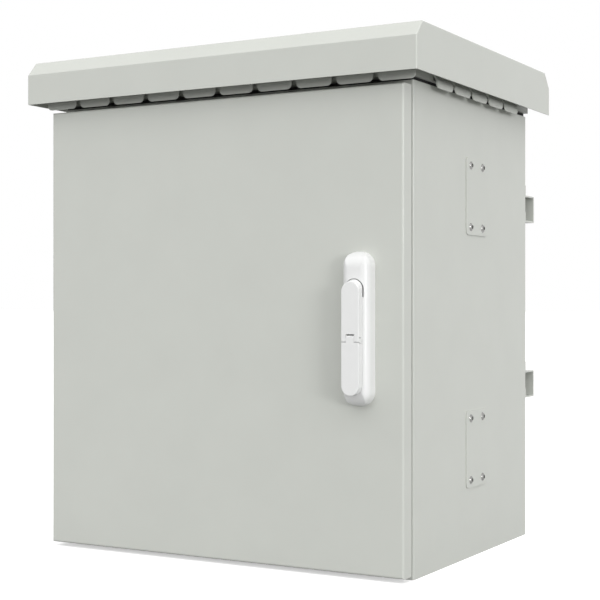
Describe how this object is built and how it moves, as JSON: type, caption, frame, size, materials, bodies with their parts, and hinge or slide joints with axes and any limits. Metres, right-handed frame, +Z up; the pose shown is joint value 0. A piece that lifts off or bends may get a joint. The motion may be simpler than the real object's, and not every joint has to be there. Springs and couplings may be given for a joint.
{
  "type": "pole-mounted rack cabinet",
  "caption": "Outdoor sheet-steel rack cabinet with a louvred rain hood, a swing-handle door, rack rails inside and rear rails for fixing it to a pole.",
  "frame": {"origin": "middle of the body's flat underside", "axes": "+X to the right as one faces the door, +Y to the rear rails, +Z up"},
  "size_m": [0.66, 0.5375, 0.7476],
  "materials": {
    "cabinet_paint": "light grey fine powder coat",
    "zinc_plate": "zinc plated",
    "screw_steel": "bright stainless",
    "handle_plastic": "white, satin moulded",
    "black_rubber": "black closed-cell foam",
    "lock_metal": "satin nickel"
  },
  "bodies": {
    "cabinet": {"body_wrap": "cabinet_paint", "collar_seal": "black_rubber", "earth_nuts": "screw_steel", "earth_stud": "zinc_plate", "floor_panel": "cabinet_paint", "gland_plate": "cabinet_paint", "gland_plate_screws": "screw_steel", "hinge_arm_screws": "screw_steel", "hood_nuts": "screw_steel", "hood_studs": "screw_steel", "left_lower_rail_bracket": "zinc_plate", "left_lower_side_plate": "cabinet_paint", "left_rack_rail": "zinc_plate", "left_upper_rail_bracket": "zinc_plate", "left_upper_side_plate": "cabinet_paint", "lower_hinge_arm": "zinc_plate", "lower_hinge_pin": "screw_steel", "lower_mount_rail": "cabinet_paint", "mount_rail_bolts": "screw_steel", "mount_rail_nuts": "screw_steel", "rack_rail_bolts": "screw_steel", "right_lower_rail_bracket": "zinc_plate", "right_lower_side_plate": "cabinet_paint", "right_rack_rail": "zinc_plate", "right_upper_rail_bracket": "zinc_plate", "right_upper_side_plate": "cabinet_paint", "roof_hood": "cabinet_paint", "side_plate_nuts": "screw_steel", "side_plate_screws": "screw_steel", "top_panel": "cabinet_paint", "upper_hinge_arm": "zinc_plate", "upper_hinge_pin": "screw_steel", "upper_mount_rail": "cabinet_paint", "vent_collar": "cabinet_paint"},
    "door": {"door_panel": "cabinet_paint", "door_gasket": "black_rubber", "lower_hinge_bracket": "zinc_plate", "upper_hinge_bracket": "zinc_plate", "hinge_bracket_nuts": "screw_steel", "handle_base": "handle_plastic", "handle_clamp": "zinc_plate", "handle_clamp_screws": "screw_steel", "lock_cylinder": "lock_metal"},
    "spindle": {"spindle": "zinc_plate", "lift_pin": "screw_steel", "latch_cam": "zinc_plate", "cam_screw": "screw_steel"},
    "lever": {"lever": "handle_plastic", "flap_pin": "screw_steel"},
    "flap": {"dust_flap": "handle_plastic"},
    "lock_plug": {"lock_plug": "lock_metal"}
  },
  "joints": [
    {"name": "door_swing", "type": "hinge", "parent": "cabinet", "child": "door", "pos_m": [-0.2925, -0.231, 0.3385], "axis": [0, 0, -1], "range_deg": [0, 120]},
    {"name": "handle_turn", "type": "hinge", "parent": "door", "child": "spindle", "pos_m": [0.2378, -0.2465, 0.3935], "axis": [0, 1, 0], "range_deg": [0, 90]},
    {"name": "handle_lift", "type": "hinge", "parent": "spindle", "child": "lever", "pos_m": [0.2378, -0.2765, 0.3935], "axis": [-1, 0, 0], "range_deg": [0, 40]},
    {"name": "flap_lift", "type": "hinge", "parent": "lever", "child": "flap", "pos_m": [0.2378, -0.2783, 0.3286], "axis": [-1, 0, 0], "range_deg": [0, 90]},
    {"name": "lock_turn", "type": "hinge", "parent": "door", "child": "lock_plug", "pos_m": [0.2378, -0.271, 0.284], "axis": [0, 1, 0], "range_deg": [0, 90]}
  ]
}
